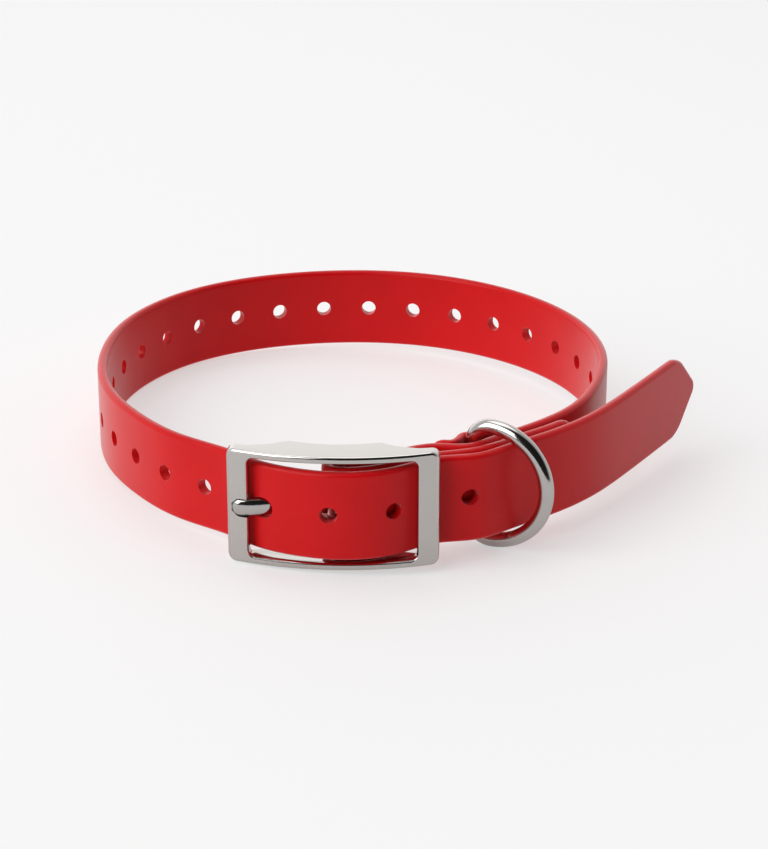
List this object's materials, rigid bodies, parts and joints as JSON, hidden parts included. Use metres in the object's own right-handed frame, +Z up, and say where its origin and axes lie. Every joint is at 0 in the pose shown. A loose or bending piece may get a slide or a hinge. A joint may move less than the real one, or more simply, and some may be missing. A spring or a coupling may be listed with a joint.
{
  "type": "dog collar",
  "caption": "Red flat strap dog collar with a holed band, a curved bar buckle with its prong through the strap, a loose pointed free end and a round-bowed D-ring beside the buckle.",
  "frame": {"origin": "middle of the collar's outline on the surface that it stands on", "axes": "+Z up as the collar stands by itself on its edge, buckle facing -Y, free end towards +X"},
  "size_m": [0.1784, 0.1762, 0.0372],
  "materials": {
    "red_strap": "smooth semi-gloss coated strap",
    "satin_nickel": "satin nickel plating",
    "polished_metal": "polished plating"
  },
  "bodies": {
    "collar": {"strap": "red_strap", "ring_patch": "red_strap", "buckle_frame": "satin_nickel", "centre_bar": "satin_nickel", "prong": "polished_metal", "post_left": "satin_nickel", "post_right": "satin_nickel"},
    "ring": {"d_ring": "polished_metal"}
  },
  "joints": [
    {"name": "d_ring_swing", "type": "hinge", "parent": "collar", "child": "ring", "pos_m": [0.02363, -0.05943, 0.01832], "axis": [-0.0435, 0.0128, 0.999], "range_deg": [-52, 3]}
  ]
}
